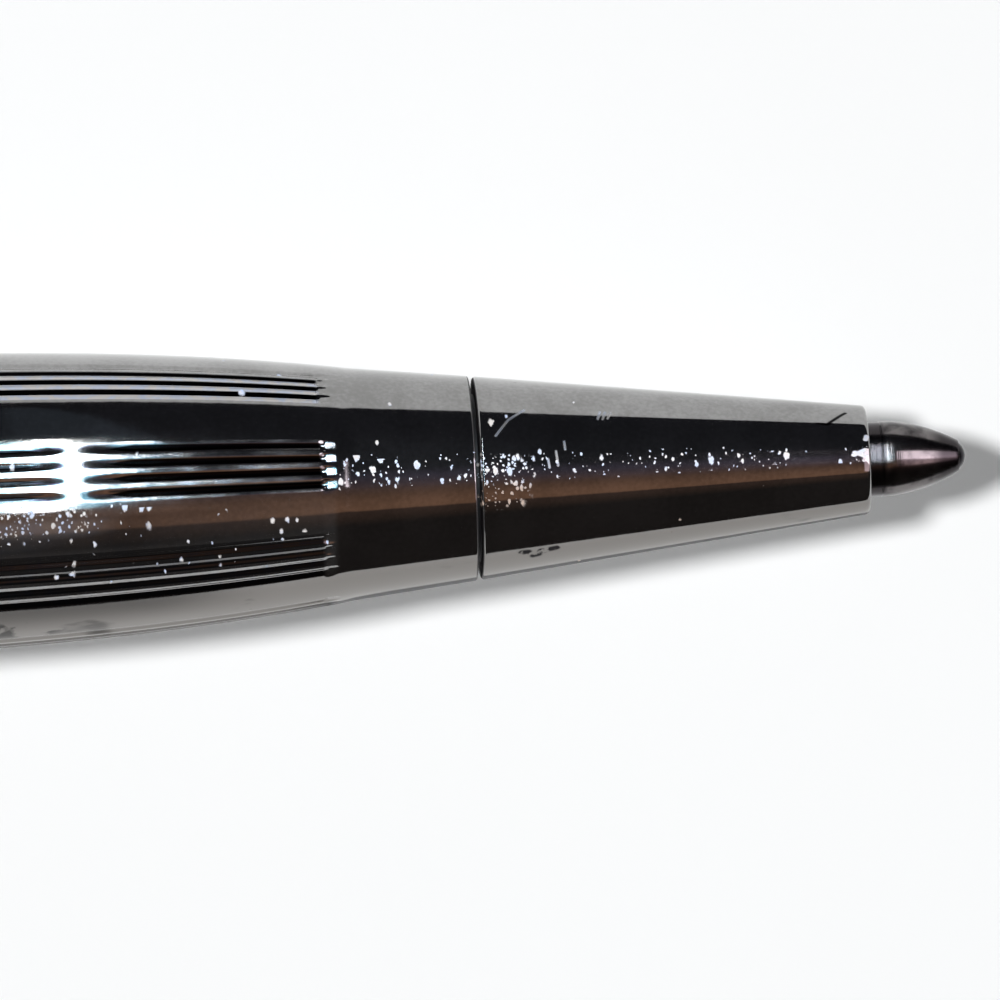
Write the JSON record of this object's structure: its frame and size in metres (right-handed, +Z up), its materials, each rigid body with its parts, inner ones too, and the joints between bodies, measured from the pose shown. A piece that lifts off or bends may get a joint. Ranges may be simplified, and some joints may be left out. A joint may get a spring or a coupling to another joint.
{
  "type": "ballpoint pen",
  "caption": "Chrome-plated twist-action ballpoint pen with engraved barrel and cap, smooth nose cone, sprung clip and a refill whose tip is out.",
  "frame": {"origin": "on the table under the middle of the pen's bounding box", "axes": "+X along the pen towards its writing point, +Z up from the table it lies on"},
  "size_m": [0.136, 0.0108, 0.0095],
  "materials": {
    "chrome": "polished chrome plate over brass, worn and lightly scratched",
    "tip_metal": "turned nickel silver, satin",
    "ball_metal": "ground hard metal, wet with ink",
    "brass": "turned brass",
    "spring_steel": "drawn spring steel",
    "white_plastic": "moulded white plastic",
    "black_rubber": "matt rubber",
    "blue_ink": "stiff blue paste ink"
  },
  "bodies": {
    "barrel_body": {"barrel": "chrome", "barrel_bush": "brass", "centre_band": "chrome", "mechanism_housing": "brass", "retaining_ring": "spring_steel", "friction_ring": "black_rubber", "return_spring": "spring_steel"},
    "cap_body": {"cap": "chrome", "cap_bush": "brass", "cam_sleeve": "brass", "thrust_washer": "white_plastic", "clip_ring": "chrome", "finial": "chrome", "finial_stud": "spring_steel"},
    "refill_body": {"refill_tube": "brass", "refill_tip": "tip_metal", "ink": "blue_ink", "refill_plug": "white_plastic", "follower": "white_plastic", "cross_pin": "spring_steel"},
    "ball_body": {"writing_ball": "ball_metal"},
    "seal_body": {"nose_seal": "black_rubber"},
    "nose_body": {"nose_cone": "chrome"},
    "clip_body": {"clip": "chrome"}
  },
  "joints": [
    {"name": "cap_twist", "type": "hinge", "parent": "barrel_body", "child": "cap_body", "pos_m": [-0.003, 0.00063, 0.00475], "axis": [1, 0, 0], "range_deg": [-135, 0]},
    {"name": "refill_slide", "type": "slide", "parent": "barrel_body", "child": "refill_body", "axis": [1, 0, 0], "range_m": [-0.0045, 0], "deforming": ["return_spring"]},
    {"name": "ball_roll", "type": "hinge", "parent": "refill_body", "child": "ball_body", "pos_m": [0.0675, 0.00063, 0.00475], "axis": [0, 1, 0], "continuous": true},
    {"name": "nose_advance", "type": "slide", "parent": "barrel_body", "child": "seal_body", "axis": [1, 0, 0], "range_m": [0, 0.003]},
    {"name": "nose_turn", "type": "hinge", "parent": "seal_body", "child": "nose_body", "pos_m": [0.0527, 0.00063, 0.00475], "axis": [1, 0, 0], "range_deg": [0, 1800]},
    {"name": "clip_flex", "type": "hinge", "parent": "cap_body", "child": "clip_body", "pos_m": [-0.06005, -0.00415, 0.00155], "axis": [0, 0.5562, -0.8311], "range_deg": [0, 5], "stiffness_Nm_per_rad": 0.8, "springref_deg": -1.72}
  ],
  "couplings": [
    {"joint": "refill_slide", "follows": "cap_twist", "m_per_rad": 0.0019098},
    {"joint": "nose_turn", "follows": "nose_advance", "rad_per_m": 10472}
  ]
}
